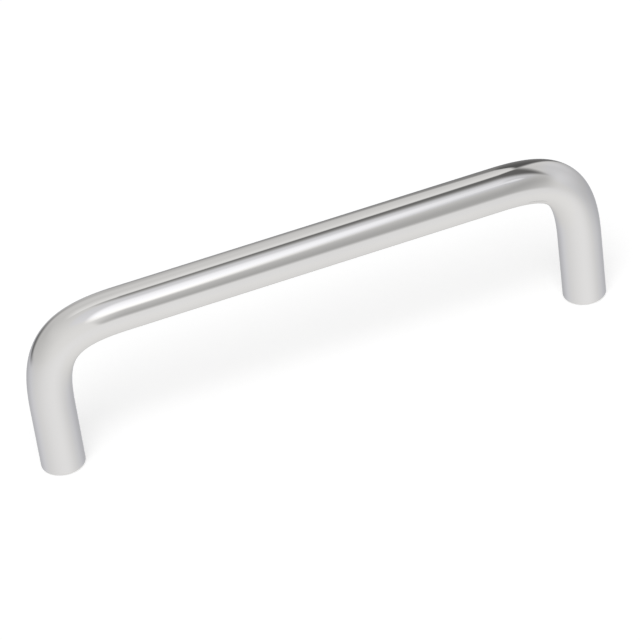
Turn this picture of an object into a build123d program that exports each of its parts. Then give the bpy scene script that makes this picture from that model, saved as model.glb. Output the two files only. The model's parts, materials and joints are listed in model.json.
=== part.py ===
from build123d import *
import math
import os

# Wire pull: one round rod bent into a handle, with a tapped hole in each foot.
# The bar runs along X, the feet stand on z = 0 and the screws come in from below.

# Rod
ROD_DIAMETER = 8.0
HOLE_SPACING = 101.6  # between the centres of the two feet
PROJECTION = 32.0  # from the mounting face to the far side of the bar
FOOT_ROUND = 0.4  # rounded rim of each foot

# Bends, which start gently and are tightest in the middle
BEND_REACH = 15.0  # length of leg and of bar that each bend takes up, from their corner
INSIDE_BEND_RADIUS = 3.8  # on the inner side, at the tightest point

# Screw holes, drilled and tapped for a number 8 screw with 32 threads to the inch
TAP_DRILL_DIAMETER = 3.454
TAPPED_DEPTH = 12.0  # from the foot's face to the end of the straight wall
DRILL_POINT_ANGLE = 118.0
MOUTH_CHAMFER = 0.47  # countersink around the mouth, at 45 degrees

# Bend curve: each straight run pulls on it this far from where the bend starts,
# which gives the stated radius in the middle of a square corner
axis_bend_radius = INSIDE_BEND_RADIUS + ROD_DIAMETER / 2
roundness = 4 + 8 * math.sqrt(2) / 3 * axis_bend_radius / BEND_REACH
bend_pull = BEND_REACH * (roundness - math.sqrt(roundness**2 - 16)) / 2

# Rod: a circle carried up one leg, along the bar and down the other leg
foot_x = HOLE_SPACING / 2
bar_height = PROJECTION - ROD_DIAMETER / 2
leg_end = bar_height - BEND_REACH
bar_end = foot_x - BEND_REACH

left_leg = Line((-foot_x, 0, 0), (-foot_x, 0, leg_end))
left_bend = Bezier(
    (-foot_x, 0, leg_end),
    (-foot_x, 0, leg_end + bend_pull),
    (-bar_end - bend_pull, 0, bar_height),
    (-bar_end, 0, bar_height),
)
bar = Line((-bar_end, 0, bar_height), (bar_end, 0, bar_height))
right_bend = Bezier(
    (bar_end, 0, bar_height),
    (bar_end + bend_pull, 0, bar_height),
    (foot_x, 0, leg_end + bend_pull),
    (foot_x, 0, leg_end),
)
right_leg = Line((foot_x, 0, leg_end), (foot_x, 0, 0))
rod_path = Wire([left_leg, left_bend, bar, right_bend, right_leg])
rod_section = Plane(origin=(-foot_x, 0, 0), z_dir=(0, 0, 1)) * Circle(ROD_DIAMETER / 2)
rod = sweep(rod_section, rod_path)

# Feet: sawn square and rounded at the rim
foot_rims = rod.edges().filter_by(GeomType.CIRCLE).filter_by_position(Axis.Z, -0.01, 0.01)
rod = fillet(foot_rims, FOOT_ROUND)

# Screw holes: countersunk mouth, straight wall and drill point, blind in each leg
drill_radius = TAP_DRILL_DIAMETER / 2
point_length = drill_radius / math.tan(math.radians(DRILL_POINT_ANGLE / 2))
hole_outline = Polyline(
    (0, 0),
    (drill_radius + MOUTH_CHAMFER, 0),
    (drill_radius, MOUTH_CHAMFER),
    (drill_radius, TAPPED_DEPTH),
    (0, TAPPED_DEPTH + point_length),
    close=True,
)
hole = revolve(Plane.XZ * make_face(hole_outline), Axis.Z)
pull_rod = rod - Pos(-foot_x, 0, 0) * hole - Pos(foot_x, 0, 0) * hole

os.makedirs("parts", exist_ok=True)
export_step(pull_rod, "parts/pull_rod.step")
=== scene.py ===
import bpy
import json
import math
from mathutils import Matrix, Vector
from mathutils.geometry import interpolate_bezier


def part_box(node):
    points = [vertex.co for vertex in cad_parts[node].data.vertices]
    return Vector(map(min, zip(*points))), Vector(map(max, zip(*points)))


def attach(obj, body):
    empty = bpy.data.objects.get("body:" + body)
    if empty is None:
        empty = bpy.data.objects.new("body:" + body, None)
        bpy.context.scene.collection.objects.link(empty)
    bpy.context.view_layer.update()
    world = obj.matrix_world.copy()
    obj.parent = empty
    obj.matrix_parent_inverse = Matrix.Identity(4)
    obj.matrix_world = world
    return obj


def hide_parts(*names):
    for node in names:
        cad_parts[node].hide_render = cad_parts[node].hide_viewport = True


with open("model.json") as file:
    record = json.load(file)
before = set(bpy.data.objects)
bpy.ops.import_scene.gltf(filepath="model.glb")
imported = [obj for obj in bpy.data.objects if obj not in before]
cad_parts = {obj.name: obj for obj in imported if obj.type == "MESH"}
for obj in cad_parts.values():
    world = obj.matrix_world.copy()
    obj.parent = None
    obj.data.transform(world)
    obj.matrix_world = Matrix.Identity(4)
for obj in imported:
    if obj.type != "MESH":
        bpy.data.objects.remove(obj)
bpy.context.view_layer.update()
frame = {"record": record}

# Bent rod
# One length of round steel rod, cold bent into a U: each bend starts gently and is tightest in its middle.
# The feet are faced square, rounded at the rim, drilled, and tapped from below for the screws that hold it.
# The rod is then buffed and chrome plated; the threads and the feet's faces stay as the tools cut them.
mm = 0.001
rod_low, rod_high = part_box("pull_rod")
rod_radius = (rod_high.y - rod_low.y) / 2
foot_x = rod_high.x - rod_radius
bar_height = rod_high.z - rod_radius

# Line of the bend: the straight runs pull on it so that the inner side has its stated radius in the middle
bend_reach = 15.0 * mm
inside_bend_radius = 3.8 * mm
roundness = 4 + 8 * math.sqrt(2) / 3 * (inside_bend_radius + rod_radius) / bend_reach
bend_pull = bend_reach * (roundness - math.sqrt(roundness**2 - 16)) / 2
leg_end = bar_height - bend_reach
bar_end = foot_x - bend_reach
upwards = Vector((0, 0, 1))
rightwards = Vector((1, 0, 0))
downwards = Vector((0, 0, -1))
rod_stations = [
    (Vector((-foot_x, 0, 0)), upwards),
    (Vector((-foot_x, 0, leg_end)), upwards),
    (Vector((-bar_end, 0, bar_height)), rightwards),
    (Vector((bar_end, 0, bar_height)), rightwards),
    (Vector((foot_x, 0, leg_end)), downwards),
    (Vector((foot_x, 0, 0)), downwards),
]
span_pulls = [leg_end / 3, bend_pull, 2 * bar_end / 3, bend_pull, leg_end / 3]
steps_per_span = 512


def add_object(name, data):
    """Puts an object with this mesh, curve, lamp or camera into the scene."""
    added = bpy.data.objects.new(name, data)
    bpy.context.scene.collection.objects.link(added)
    return added


path_curve = bpy.data.curves.new("rod_path", "CURVE")
path_curve.dimensions = "3D"
path_curve.resolution_u = steps_per_span
path_line = path_curve.splines.new("BEZIER")
path_line.bezier_points.add(len(rod_stations) - 1)
pulls_before = [span_pulls[0]] + span_pulls
pulls_after = span_pulls + [span_pulls[-1]]
path_knots = zip(path_line.bezier_points, rod_stations, pulls_before, pulls_after)
for knot, (station, heading), pull_before, pull_after in path_knots:
    knot.handle_left_type = "FREE"
    knot.handle_right_type = "FREE"
    knot.co = station
    knot.handle_left = station - heading * pull_before
    knot.handle_right = station + heading * pull_after
rod_path = add_object("rod_path", path_curve)

span_lengths = []
for start, end in zip(path_line.bezier_points[:-1], path_line.bezier_points[1:]):
    span = interpolate_bezier(start.co, start.handle_right, end.handle_left, end.co, steps_per_span + 1)
    span_lengths.append(sum((b - a).length for a, b in zip(span[:-1], span[1:])))
rod_length = sum(span_lengths)
bend_end = leg_end + span_lengths[1]

# Screw hole: tap drill with its point, a countersunk mouth, and a thread of 32 turns to the inch
screw_hole = next(mount for mount in frame["record"]["mounts"] if mount["name"] == "left_screw_hole")
drill_radius = screw_hole["dims"]["r_mm"] * mm
drill_point_angle = math.radians(118.0)
drill_point = drill_radius / math.tan(drill_point_angle / 2)
mouth_chamfer = 0.47 * mm
mouth_radius = drill_radius + mouth_chamfer
tapped_depth = screw_hole["dims"]["length_mm"] * mm + mouth_chamfer
foot_round = 0.4 * mm
thread_pitch = 25.4 / 32 * mm
thread_cut = 0.356 * mm
thread_runout = 1.5 * mm

# Longest steps of the mesh along the outline: short where it turns or is cut, longer on the straight
rings_per_turn = 16
thread_step = thread_pitch / rings_per_turn
mouth_step = 0.06 * mm
face_step = 0.3 * mm
rim_step = math.radians(9)
rim_end_step = 0.1 * mm
leg_step = 0.8 * mm
bend_step = 0.35 * mm
bar_step = 1.0 * mm


def even(start, end, longest):
    """Places from start to end, both included, no further apart than longest."""
    count = max(1, math.ceil(abs(end - start) / longest))
    return [start + (end - start) * i / count for i in range(count + 1)]


# Half outline, as (place along the rod, distance from its axis): drill point, wall, mouth, face, rim, rod
half_outline = [(tapped_depth + drill_point, 0.0)]
half_outline += [(place, drill_radius) for place in even(tapped_depth, mouth_chamfer, thread_step)]
for widening in even(0, mouth_chamfer, mouth_step)[1:]:
    half_outline.append((mouth_chamfer - widening, drill_radius + widening))
half_outline += [(0.0, distance) for distance in even(mouth_radius, rod_radius - foot_round, face_step)[1:]]
for rim_turn in even(0, math.pi / 2, rim_step)[1:]:
    rim_place = foot_round * (1 - math.cos(rim_turn))
    half_outline.append((rim_place, rod_radius - foot_round * (1 - math.sin(rim_turn))))
rod_runs = [
    (foot_round, 2 * foot_round, rim_end_step),
    (2 * foot_round, leg_end, leg_step),
    (leg_end, bend_end, bend_step),
    (bend_end, rod_length / 2, bar_step),
]
for run_start, run_end, longest_step in rod_runs:
    half_outline += [(place, rod_radius) for place in even(run_start, run_end, longest_step)[1:]]
other_half = [(rod_length - place, distance) for place, distance in reversed(half_outline[:-1])]
outline = half_outline + other_half

outline_curve = bpy.data.curves.new("rod_outline", "CURVE")
outline_curve.dimensions = "3D"
outline_line = outline_curve.splines.new("POLY")
outline_line.points.add(len(outline) - 1)
for corner_point, (place, distance) in zip(outline_line.points, outline):
    corner_point.co = (place, distance, 0, 1)
rod_outline = add_object("rod_outline", outline_curve)


def bare_tree(owner):
    """Gives the emptied node tree of a material or a world."""
    owner.use_nodes = True
    owner.node_tree.nodes.clear()
    return owner.node_tree


def node(tree, kind, feeds=None, **settings):
    """Adds a node, with its settings, and feeds its inputs from sockets or plain values."""
    made = tree.nodes.new(kind)
    for name, value in settings.items():
        setattr(made, name, value)
    for key, value in (feeds or {}).items():
        if isinstance(value, bpy.types.NodeSocket):
            tree.links.new(value, made.inputs[key])
        else:
            made.inputs[key].default_value = value
    return made


def math_node(tree, operation, first, second=0.0):
    """Adds a Math node and gives its result."""
    return node(tree, "ShaderNodeMath", {0: first, 1: second}, operation=operation).outputs[0]


def vector_node(tree, operation, first, second):
    """Adds a Vector Math node and gives its vector."""
    return node(tree, "ShaderNodeVectorMath", {0: first, 1: second}, operation=operation).outputs[0]


def graded(tree, level, start, end, first=0.0, last=1.0, blend="LINEAR"):
    """Goes from first, where the level is at start, to last, where it is at end; start may be above end."""
    feeds = {"Value": level, "From Min": start, "From Max": end, "To Min": first, "To Max": last}
    return node(tree, "ShaderNodeMapRange", feeds, interpolation_type=blend).outputs[0]


def noise(tree, place, scale, detail, roughness):
    """Adds an uneven pattern and gives its level."""
    feeds = {"Vector": place, "Scale": scale, "Detail": detail, "Roughness": roughness}
    return node(tree, "ShaderNodeTexNoise", feeds).outputs[0]


def two_tone(tree, level, dark, light, dark_at, light_at):
    """Adds a colour ramp from a dark colour at one level to a light one at another."""
    ramp = node(tree, "ShaderNodeValToRGB", {"Fac": level})
    dark_stop, light_stop = ramp.color_ramp.elements
    dark_stop.position = dark_at
    dark_stop.color = dark
    light_stop.position = light_at
    light_stop.color = light
    return ramp.outputs[0]


def mix_colour(tree, share, first, second):
    """Adds a Mix node and gives its colour; its two colours go into the sockets 6 and 7."""
    return node(tree, "ShaderNodeMix", {0: share, 6: first, 7: second}, data_type="RGBA").outputs[2]


# Polished chrome: a mirror with faint polishing lines along the rod and a thin uneven haze from handling.
# It reads rod_place, the place on the straight rod: x and y from its axis, z along it from the left foot.
polished_chrome = bpy.data.materials.new("polished_chrome_plate")
chrome = bare_tree(polished_chrome)
place_reader = node(chrome, "ShaderNodeAttribute", attribute_name="rod_place", attribute_type="GEOMETRY")
rod_place = place_reader.outputs["Vector"]
across_rod = vector_node(chrome, "MULTIPLY", rod_place, (1, 1, 0))
from_axis = node(chrome, "ShaderNodeVectorMath", {0: across_rod}, operation="LENGTH").outputs["Value"]
object_place = node(chrome, "ShaderNodeTexCoord").outputs["Object"]
height = node(chrome, "ShaderNodeSeparateXYZ", {0: object_place}).outputs["Z"]

lines_per_metre = (4200, 4200, 110)
polish_place = node(chrome, "ShaderNodeMapping", {"Vector": rod_place, "Scale": lines_per_metre}).outputs[0]
polish_lines = noise(chrome, polish_place, scale=1.0, detail=3.0, roughness=0.6)
haze = noise(chrome, object_place, scale=95.0, detail=4.0, roughness=0.55)
plate_tone = noise(chrome, object_place, scale=38.0, detail=2.0, roughness=0.5)

# Where the plate ends: in the bore, inside its mouth, and on the foot's face, just off the floor
bore_edge = 0.05 * mm
face_starts = 0.06 * mm
face_full = 0.01 * mm
in_bore = graded(chrome, from_axis, mouth_radius + bore_edge, mouth_radius)
on_face = graded(chrome, height, face_starts, face_full)

plate_dark = (0.690, 0.690, 0.694, 1)
plate_light = (0.712, 0.712, 0.714, 1)
face_grey = (0.60, 0.60, 0.61, 1)
steel_dark = (0.36, 0.35, 0.34, 1)
steel_light = (0.50, 0.49, 0.48, 1)
plate_colour = two_tone(chrome, plate_tone, plate_dark, plate_light, dark_at=0.3, light_at=0.7)
face_colour = mix_colour(chrome, on_face, plate_colour, face_grey)
steel_colour = two_tone(chrome, polish_lines, steel_dark, steel_light, dark_at=0.25, light_at=0.75)
rod_colour = mix_colour(chrome, in_bore, face_colour, steel_colour)

lines_roughness = graded(chrome, polish_lines, 0.3, 0.75, first=0.028, last=0.050)
haze_roughness = graded(chrome, haze, 0.52, 0.8, last=0.03)
facing_roughness = 0.20
cutting_roughness = 0.28
plate_roughness = math_node(chrome, "ADD", lines_roughness, haze_roughness)
face_adds = math_node(chrome, "MULTIPLY", on_face, facing_roughness)
bore_adds = math_node(chrome, "MULTIPLY", in_bore, cutting_roughness)
rod_roughness = math_node(chrome, "ADD", math_node(chrome, "ADD", plate_roughness, face_adds), bore_adds)

# Relief, in microns: polishing lines along the rod, and rings on the feet's faces from the facing tool
micron = 0.001 * mm
facing_feed = 0.22 * mm
ring_relief = 1.2
line_relief = 0.12
facing_turns = math_node(chrome, "MULTIPLY", from_axis, 2 * math.pi / facing_feed)
ring_height = math_node(chrome, "MULTIPLY", on_face, ring_relief)
foot_rings = math_node(chrome, "MULTIPLY", math_node(chrome, "SINE", facing_turns), ring_height)
relief = math_node(chrome, "ADD", math_node(chrome, "MULTIPLY", polish_lines, line_relief), foot_rings)
relief_feeds = {"Strength": 1.0, "Distance": micron, "Height": relief}
polish_bump = node(chrome, "ShaderNodeBump", relief_feeds).outputs[0]
chrome_feeds = {
    "Base Color": rod_colour,
    "Metallic": 1.0,
    "Roughness": rod_roughness,
    "Normal": polish_bump,
}
chrome_shader = node(chrome, "ShaderNodeBsdfPrincipled", chrome_feeds)
node(chrome, "ShaderNodeOutputMaterial", {"Surface": chrome_shader.outputs[0]})

# Tree that carries the outline along the path, turned round the rod's axis, and cuts the two threads
rod_sides = 96
rod_tree = bpy.data.node_groups.new("rod_along_path", "GeometryNodeTree")
rod_tree.interface.new_socket("Rod", in_out="OUTPUT", socket_type="NodeSocketGeometry")
rod_inputs = {
    "Path": ("NodeSocketObject", rod_path),
    "Outline": ("NodeSocketObject", rod_outline),
    "Rod Length": ("NodeSocketFloat", rod_length),
    "Sides": ("NodeSocketInt", rod_sides),
    "Drill Radius": ("NodeSocketFloat", drill_radius),
    "Tapped Depth": ("NodeSocketFloat", tapped_depth),
    "Thread Pitch": ("NodeSocketFloat", thread_pitch),
    "Thread Cut": ("NodeSocketFloat", thread_cut),
    "Thread Runout": ("NodeSocketFloat", thread_runout),
    "Finish": ("NodeSocketMaterial", polished_chrome),
}
rod_sockets = {
    name: rod_tree.interface.new_socket(name, in_out="INPUT", socket_type=kind).identifier
    for name, (kind, value) in rod_inputs.items()
}
given = node(rod_tree, "NodeGroupInput").outputs


def drawn_line(curve_input):
    """Gives the curve of an object that the tree is given."""
    reader = node(rod_tree, "GeometryNodeObjectInfo", {"Object": curve_input}, transform_space="ORIGINAL")
    return reader.outputs["Geometry"]


# Grid with one row for each point of the outline and one column for each side, the first one twice
path = drawn_line(given["Path"])
profile = drawn_line(given["Outline"])
profile_size = node(rod_tree, "GeometryNodeAttributeDomainSize", {"Geometry": profile}, component="CURVE")
column_count = math_node(rod_tree, "ADD", given["Sides"], 1.0)
grid_feeds = {"Vertices X": profile_size.outputs["Point Count"], "Vertices Y": column_count}
grid = node(rod_tree, "GeometryNodeMeshGrid", grid_feeds).outputs["Mesh"]

corner = node(rod_tree, "GeometryNodeInputIndex").outputs[0]
ring = math_node(rod_tree, "FLOOR", math_node(rod_tree, "DIVIDE", corner, column_count))
column = math_node(rod_tree, "SUBTRACT", corner, math_node(rod_tree, "MULTIPLY", ring, column_count))
turn = math_node(rod_tree, "DIVIDE", column, given["Sides"])
angle = math_node(rod_tree, "MULTIPLY", turn, 2 * math.pi)


def at_ring(value, data_type):
    """The value at the point of the outline that makes this ring."""
    feeds = {"Geometry": profile, "Value": value, "Index": ring}
    reader = node(rod_tree, "GeometryNodeSampleIndex", feeds, data_type=data_type, domain="POINT")
    return reader.outputs["Value"]


outline_place = at_ring(node(rod_tree, "GeometryNodeInputPosition").outputs[0], "FLOAT_VECTOR")
outline_walk = at_ring(node(rod_tree, "GeometryNodeSplineParameter").outputs["Factor"], "FLOAT")
outline_parts = node(rod_tree, "ShaderNodeSeparateXYZ", {0: outline_place}).outputs
along = outline_parts["X"]
plain_radius = outline_parts["Y"]

# Thread, right-handed, with its flanks given in shares of half a turn from the middle of the crest
flank_start = 0.12
flank_end = 0.95
depth = math_node(rod_tree, "MINIMUM", along, math_node(rod_tree, "SUBTRACT", given["Rod Length"], along))
full_depth = math_node(rod_tree, "SUBTRACT", given["Tapped Depth"], given["Thread Runout"])
thread_share = graded(rod_tree, depth, given["Tapped Depth"], full_depth)
turns_in = math_node(rod_tree, "ADD", math_node(rod_tree, "DIVIDE", along, given["Thread Pitch"]), turn)
half_turns = math_node(rod_tree, "MULTIPLY", math_node(rod_tree, "FRACT", turns_in), 2.0)
from_crest = math_node(rod_tree, "ABSOLUTE", math_node(rod_tree, "SUBTRACT", half_turns, 1.0))
groove = graded(rod_tree, from_crest, flank_start, flank_end, blend="SMOOTHSTEP")
groove_depth = math_node(rod_tree, "MULTIPLY", groove, given["Thread Cut"])
thread_depth = math_node(rod_tree, "MULTIPLY", groove_depth, thread_share)
cut_radius = math_node(rod_tree, "ADD", given["Drill Radius"], thread_depth)
in_thread = math_node(rod_tree, "LESS_THAN", depth, given["Tapped Depth"])
thread_radius = math_node(rod_tree, "MULTIPLY", cut_radius, in_thread)
radius = math_node(rod_tree, "MAXIMUM", plain_radius, thread_radius)

# Place of each corner on the bent rod, and on the straight rod for the polishing lines
path_feeds = {"Curves": path, "Length": along}
path_reader = node(rod_tree, "GeometryNodeSampleCurve", path_feeds, mode="LENGTH", use_all_curves=True)
path_here = path_reader.outputs
sideways = math_node(rod_tree, "MULTIPLY", radius, math_node(rod_tree, "COSINE", angle))
outwards = math_node(rod_tree, "MULTIPLY", radius, math_node(rod_tree, "SINE", angle))
out_heading = vector_node(rod_tree, "CROSS_PRODUCT", (0, 1, 0), path_here["Tangent"])
out_feeds = {0: out_heading, "Scale": outwards}
out_shift = node(rod_tree, "ShaderNodeVectorMath", out_feeds, operation="SCALE").outputs[0]
side_shift = node(rod_tree, "ShaderNodeCombineXYZ", {"Y": sideways}).outputs[0]
from_path = vector_node(rod_tree, "ADD", out_shift, side_shift)
skin_place = vector_node(rod_tree, "ADD", path_here["Position"], from_path)
skin = node(rod_tree, "GeometryNodeSetPosition", {"Geometry": grid, "Position": skin_place}).outputs[0]
straight_feeds = {"X": sideways, "Y": outwards, "Z": along}
straight_place = node(rod_tree, "ShaderNodeCombineXYZ", straight_feeds).outputs[0]
flat_place = node(rod_tree, "ShaderNodeCombineXYZ", {"X": turn, "Y": outline_walk}).outputs[0]
flat_kind = {"data_type": "FLOAT_VECTOR", "domain": "POINT"}
flat_corner = node(rod_tree, "GeometryNodeFieldOnDomain", {"Value": flat_place}, **flat_kind).outputs[0]


def noted(geometry, name, value, data_type, domain):
    """Stores a value on the geometry under a name."""
    feeds = {"Geometry": geometry, "Name": name, "Value": value}
    keeper = node(rod_tree, "GeometryNodeStoreNamedAttribute", feeds, data_type=data_type, domain=domain)
    return keeper.outputs[0]


skin = noted(skin, "rod_place", straight_place, "FLOAT_VECTOR", "POINT")
skin = noted(skin, "UVMap", flat_corner, "FLOAT2", "CORNER")

# Seam closed, and shading smooth but for the sharp edges at the mouths
sharp_angle = math.radians(40)
skin = node(rod_tree, "GeometryNodeMergeByDistance", {"Geometry": skin, "Distance": micron}).outputs[0]
smooth_feeds = {"Geometry": skin, "Shade Smooth": True}
skin = node(rod_tree, "GeometryNodeSetShadeSmooth", smooth_feeds, domain="FACE").outputs[0]
edge_angle = node(rod_tree, "GeometryNodeInputMeshEdgeAngle").outputs["Unsigned Angle"]
sharp = math_node(rod_tree, "GREATER_THAN", edge_angle, sharp_angle)
sharp_feeds = {"Geometry": skin, "Selection": sharp, "Shade Smooth": False}
skin = node(rod_tree, "GeometryNodeSetShadeSmooth", sharp_feeds, domain="EDGE").outputs[0]
skin = node(rod_tree, "GeometryNodeRealizeInstances", {"Geometry": skin}).outputs[0]
skin = node(rod_tree, "GeometryNodeSetMaterial", {"Geometry": skin, "Material": given["Finish"]}).outputs[0]
node(rod_tree, "NodeGroupOutput", {"Rod": skin})

bent_rod = add_object("bent_rod", bpy.data.meshes.new("bent_rod"))
rod_maker = bent_rod.modifiers.new("rod_along_path", "NODES")
rod_maker.node_group = rod_tree
for name, (kind, value) in rod_inputs.items():
    rod_maker[rod_sockets[name]] = value
made_now = bpy.context.evaluated_depsgraph_get()
rod_mesh = bpy.data.meshes.new_from_object(bent_rod.evaluated_get(made_now), depsgraph=made_now)
bent_rod.modifiers.remove(rod_maker)
bent_rod.data = rod_mesh
rod_mesh.name = "bent_rod"
for helper in (rod_path, rod_outline):
    bpy.data.objects.remove(helper)
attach(bent_rod, "root")
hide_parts("pull_rod")

# Floor
# A plain white sheet that the pull stands on, matt, with the pull's soft shadow on it.
# Chrome shows the tent's lower half in its place, and seen from below it lets the view through to the feet.
floor_reach = 6.0
floor_drop = 0.1 * mm
floor_ways = [(-1, -1), (1, -1), (1, 1), (-1, 1)]
floor_corners = [(x * floor_reach, y * floor_reach, -floor_drop) for x, y in floor_ways]
floor_mesh = bpy.data.meshes.new("floor")
floor_mesh.from_pydata(floor_corners, [], [(0, 1, 2, 3)])
floor = add_object("floor", floor_mesh)
floor.visible_glossy = False

sheet_colour = (0.80, 0.80, 0.80, 1)
sheet_lift = 0.47
white_sheet = bpy.data.materials.new("white_sheet")
sheet = bare_tree(white_sheet)
sheet_ray = node(sheet, "ShaderNodeLightPath").outputs
sheet_mirrored = math_node(sheet, "MAXIMUM", sheet_ray["Is Glossy Ray"], sheet_ray["Is Transmission Ray"])
sheet_seen = math_node(sheet, "MAXIMUM", sheet_ray["Is Camera Ray"], sheet_mirrored)
sheet_matt = node(sheet, "ShaderNodeBsdfDiffuse", {"Color": sheet_colour}).outputs[0]
glow_feeds = {"Color": (1, 1, 1, 1), "Strength": math_node(sheet, "MULTIPLY", sheet_seen, sheet_lift)}
sheet_glow = node(sheet, "ShaderNodeEmission", glow_feeds).outputs[0]
sheet_above = node(sheet, "ShaderNodeAddShader", {0: sheet_matt, 1: sheet_glow}).outputs[0]
sheet_below = node(sheet, "ShaderNodeBsdfTransparent").outputs[0]
sheet_side = node(sheet, "ShaderNodeNewGeometry").outputs["Backfacing"]
from_below = math_node(sheet, "MULTIPLY", sheet_ray["Is Camera Ray"], sheet_side)
sheet_feeds = {0: from_below, 1: sheet_above, 2: sheet_below}
sheet_shader = node(sheet, "ShaderNodeMixShader", sheet_feeds).outputs[0]
node(sheet, "ShaderNodeOutputMaterial", {"Surface": sheet_shader})
floor_mesh.materials.append(white_sheet)

# Light tent
# A tent of white cloth round the pull, with a lamp behind its front and dark openings overhead and behind.
# It lies flat like a map with straight up in its middle: to_right and to_back are degrees from straight up.
tent_world = bpy.data.worlds.new("light_tent")
bpy.context.scene.world = tent_world
tent = bare_tree(tent_world)


class Level:
    """A number that Math nodes work out for each direction in the tent."""

    def __init__(self, socket):
        self.socket = socket

    def with_other(self, operation, other, swap=False):
        """Joins it by a Math node with another one or with a plain number."""
        other = other.socket if isinstance(other, Level) else other
        pair = (other, self.socket) if swap else (self.socket, other)
        return Level(math_node(tent, operation, *pair))

    def __add__(self, other):
        return self.with_other("ADD", other)

    def __radd__(self, other):
        return self.with_other("ADD", other)

    def __sub__(self, other):
        return self.with_other("SUBTRACT", other)

    def __rsub__(self, other):
        return self.with_other("SUBTRACT", other, swap=True)

    def __mul__(self, other):
        return self.with_other("MULTIPLY", other)

    def __rmul__(self, other):
        return self.with_other("MULTIPLY", other)

    def __truediv__(self, other):
        return self.with_other("DIVIDE", other)

    def __pow__(self, other):
        return self.with_other("POWER", other)

    def at_most(self, other):
        return self.with_other("MINIMUM", other)

    def at_least(self, other):
        return self.with_other("MAXIMUM", other)


ray = node(tent, "ShaderNodeTexCoord").outputs["Generated"]
ray_parts = node(tent, "ShaderNodeSeparateXYZ", {0: ray}).outputs
right, back, up = (Level(ray_parts[axis]) for axis in "XYZ")
off_zenith = up.at_most(1.0).at_least(-1.0).with_other("ARCCOSINE", 0.0) * (180 / math.pi)
level_part = (right * right + back * back).with_other("SQRT", 0.0)
least_level_part = 1e-4
spread = off_zenith / level_part.at_least(least_level_part)
to_right = right * spread
to_back = back * spread


def ease(level, start, end, first=0.0, last=1.0):
    """Goes smoothly from first, where the level is at start, to last, where it is at end."""
    level, start, end = (part.socket if isinstance(part, Level) else part for part in (level, start, end))
    return Level(graded(tent, level, start, end, first, last, blend="SMOOTHSTEP"))


def below(level, line, softness):
    """An edge that is full below the line."""
    return (level, line + softness, line - softness)


def above(level, line, softness):
    """An edge that is full above the line."""
    return (level, line - softness, line + softness)


def patch(**edges):
    """1 inside all the edges and 0 outside; an edge is a level, where it starts and where it is full."""
    return math.prod(ease(*edge) for edge in edges.values())


def band(lift, faces, side, low, high):
    """Lift of the tone in a level band, most where it faces, with an edge at its sides, below and above."""
    facing_right, facing_back = faces
    facing = facing_right * right + facing_back * back
    return lift * patch(side=(facing, *side), low=(up, *low), high=(up, *high))


def across(lean):
    """Degrees to the right of a line through straight up that goes to the right by lean as it goes back."""
    return to_right - lean * to_back


def oval(centre, half_width, half_depth, lean=0.0):
    """0 in the centre of an oval and 1 on its rim; it goes to the right by lean as it goes back."""
    centre_right, centre_back = centre
    behind = to_back - centre_back
    beside = to_right - centre_right - lean * behind
    return (beside / half_width) ** 2.0 + (behind / half_depth) ** 2.0


def toward(tone, other, share):
    """The tone moved to another one by that share."""
    return tone + (other - tone) * share


# Cloth, in tones of the finished picture from 0 to 255: lighter in front and near the floor,
# with a darker band on the right, a fainter one on the left, and a light part and a dark hollow behind
cloth_tone = 198.1
front_lift = 17.4
floor_lift = 13.6
tone = cloth_tone - front_lift * back - floor_lift * up.at_most(0.0)
tone += band(-26.4, faces=(0.86, 0.51), side=(-0.52, 0.75), low=(-1.0, -0.22), high=(0.50, -0.40))
tone += band(-7.8, faces=(-0.77, 0.64), side=(-0.27, 0.95), low=(-0.27, 0.23), high=(0.73, 0.45))
tone += band(21.8, faces=(0.28, 0.96), side=(0.29, 1.10), low=(-0.37, 0.29), high=(1.0, 0.70))
tone += band(-15.3, faces=(0.29, 0.96), side=(0.02, 0.90), low=(-0.984, -0.574), high=(-0.164, -0.574))

# Opening in front, grey, with the room beyond
gap_tone = 162.5
gap = patch(
    left=(across(lean=0.283), 15.6, 47.4),
    left_end=(across(lean=-0.45), -32.5, -28.9),
    right=(across(lean=0.283), 83.7, 44.6),
    right_end=(to_right, 61.3, 39.9),
    low=(to_back, -102.7, -87.4),
    high=(to_back, 9.1, -66.8),
)
tone = toward(tone, gap_tone, gap)

# Lamp high behind the front cloth, an oval cut off on its right, with a small light patch beyond the cut
beyond_lift = 28.6
beyond_oval = oval(centre=(22.4, -34.4), half_width=5.9, half_depth=7.0)
tone += ease(beyond_oval, 1.0, 0.0, last=beyond_lift)
lamp_tone = 257
lamp_oval = oval(centre=(13.0, -41.8), half_width=12.6, half_depth=17.3, lean=0.243)
lamp = patch(
    rim=(lamp_oval, 2.52, 0.50),
    right=(across(lean=0.083), 23.0, 17.5),
    high=(to_back, 12.5, -57.8),
)
tone = toward(tone, lamp_tone, lamp)

# Dark opening overhead, a wedge that widens to the right, with a light hem behind it
wedge_tone = ease(to_right, 15.0, 18.5, first=102, last=93)
wedge_front_starts = -4.8 - 0.71 * to_right
wedge_front_full = 22.7 - 0.96 * to_right
wedge_back = (1.365 * to_right - 8.0).at_least(5.3)
wedge_right = below(across(lean=-0.317), 33.6, softness=5.1)
wedge = patch(
    front=(to_back, wedge_front_starts, wedge_front_full),
    back=below(to_back, wedge_back, softness=2.9),
    left=(to_right, -6, 4),
    right=wedge_right,
)
tone = toward(tone, wedge_tone, wedge)
hem_lift = 22
hem_front = wedge_back + 1.4
hem_crest = wedge_back + 4.2
hem_back = wedge_back + 34
hem = patch(
    front=(to_back, hem_front, hem_crest),
    back=(to_back, hem_back, hem_crest),
    left=(to_right, -27.5, -9.4),
    right=wedge_right,
)
tone += hem_lift * hem

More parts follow.
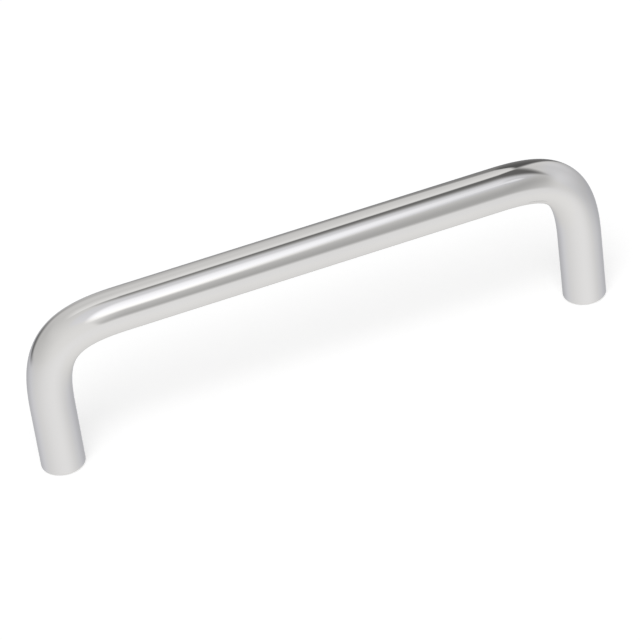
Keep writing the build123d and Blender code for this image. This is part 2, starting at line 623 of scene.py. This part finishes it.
# Dark opening behind on the right, which widens downwards and has a soft left edge near the floor
slit_tone = ease(to_back, 45, 95, first=81, last=111.6)
slit_left = ease(to_back, 58, 40, first=20.8, last=24.4)
slit_left_softness = ease(to_back, 60, 90, first=1.5, last=11.5)
slit_right = (7.0 + 0.609 * to_back).at_most(54.4)
slit = patch(
    left=above(to_right, slit_left, slit_left_softness),
    right=below(to_right, slit_right, softness=5.2),
    high=(to_back, 17, 25.5),
    low=(to_back, 112, 95),
)
tone = toward(tone, slit_tone, slit)

# Dark foot of the cloth behind, along the horizon, crisp on the left and softer and fainter on the right
foot_tone = ease(to_right, -35.6, 10.3, first=99.4, last=172.1)
foot_line = ease(to_right, -30, 23, first=100, last=80)
foot_softness_above = ease(to_right, -75, -29, first=9.7, last=31.5)
foot_softness_below = 7.3
tent_foot = patch(
    high=(off_zenith, foot_line - foot_softness_above, foot_line),
    low=(off_zenith, foot_line + foot_softness_below, foot_line),
    left=(to_right, -94.8, -50.4),
    right=(to_right, 23.5, 11.5),
    front=(back, 0.0, 0.4),
)
tone = toward(tone, foot_tone, tent_foot)

# Tone to light: undo the picture's tone curve and the chrome's own loss
chrome_reflects = 0.70
curve_foot = 0.055
curve_power = 2.4
light = ((tone / 255 + curve_foot) / (1 + curve_foot)) ** curve_power / chrome_reflects

# Tint: the cloth is a little warm, but cool round the lamp, on the right, and in a belt low down behind
warm_tint = (1.014, 1.0, 0.977, 1)
cool_tint = (1.001, 1.0, 1.036, 1)
off_floor = ease(up, -0.76, -0.60)
behind_share = ease(back + 0.3 * right, -0.40, 0.45, first=0.2)
cool_belt = off_floor * ease(up, 0.05, -0.35) * behind_share
cool_right = off_floor * ease(right, 0.58, 0.76, last=0.55)
cool_oval = oval(centre=(6, -28), half_width=28, half_depth=24)
cool_lamp = ease(cool_oval, 1.3, 0.5, last=0.70)
cool = cool_belt.at_least(cool_right).at_least(cool_lamp)
cloth_tint = mix_colour(tent, cool.socket, warm_tint, cool_tint)


def cloth_glow(colour, strength):
    """Light of that colour from all round."""
    return node(tent, "ShaderNodeBackground", {"Color": colour, "Strength": strength}).outputs[0]


# Chrome sees the tent as it is, the floor is lit evenly, and the camera sees plain white behind everything
plain_white = (1, 1, 1, 1)
tent_shown = cloth_glow(cloth_tint, light.socket)
tent_even = cloth_glow(plain_white, strength=0.45)
tent_white = cloth_glow(plain_white, strength=1.0)
tent_ray = node(tent, "ShaderNodeLightPath").outputs
lit_feeds = {0: tent_ray["Is Glossy Ray"], 1: tent_even, 2: tent_shown}
tent_lit = node(tent, "ShaderNodeMixShader", lit_feeds).outputs[0]
tent_clear = math_node(tent, "MAXIMUM", tent_ray["Is Camera Ray"], tent_ray["Is Transmission Ray"])
tent_surface = node(tent, "ShaderNodeMixShader", {0: tent_clear, 1: tent_lit, 2: tent_white}).outputs[0]
node(tent, "ShaderNodeOutputWorld", {"Surface": tent_surface})

# Soft lamp
# A large diffuser far off above the front left, which casts the pull's soft shadow on the floor.
# The chrome doesn't show it, because the tent's own lamp patch is what is seen there.
lamp_light = bpy.data.lights.new("soft_lamp", "SUN")
lamp_light.angle = math.radians(35)
lamp_light.energy = 0.95
soft_lamp = add_object("soft_lamp", lamp_light)
lamp_place = Vector((-0.25, -0.45, 0.75))
soft_lamp.location = lamp_place
soft_lamp.rotation_euler = (-lamp_place).to_track_quat("-Z", "Y").to_euler()
soft_lamp.visible_glossy = False

# Camera
# Stands to the left of the front and looks down on the pull through a long lens, leaning to one side.
# Its place, turn and lens are those that lay the rod's outline over the one in the photograph.
view_azimuth = math.radians(-16.840)
view_elevation = math.radians(34.986)
view_lean = math.radians(-7.962)
view_distance = 652.61 * mm
view_centre = Vector((-0.639, -1.530, 13.643)) * mm
camera_data = bpy.data.cameras.new("camera")
camera_data.sensor_width = 36.0
camera_data.lens = 206.37
camera = add_object("camera", camera_data)
view_back = Vector((
    math.sin(view_azimuth) * math.cos(view_elevation),
    -math.cos(view_azimuth) * math.cos(view_elevation),
    math.sin(view_elevation),
))
level_right = Vector((math.cos(view_azimuth), math.sin(view_azimuth), 0))
level_up = view_back.cross(level_right)
view_right = level_right * math.cos(view_lean) + level_up * math.sin(view_lean)
view_up = level_up * math.cos(view_lean) - level_right * math.sin(view_lean)
camera_turn = Matrix((view_right, view_up, view_back)).transposed()
camera.matrix_world = Matrix.Translation(view_centre + view_back * view_distance) @ camera_turn.to_4x4()
bpy.context.scene.camera = camera
bpy.context.scene.view_settings.view_transform = "Standard"
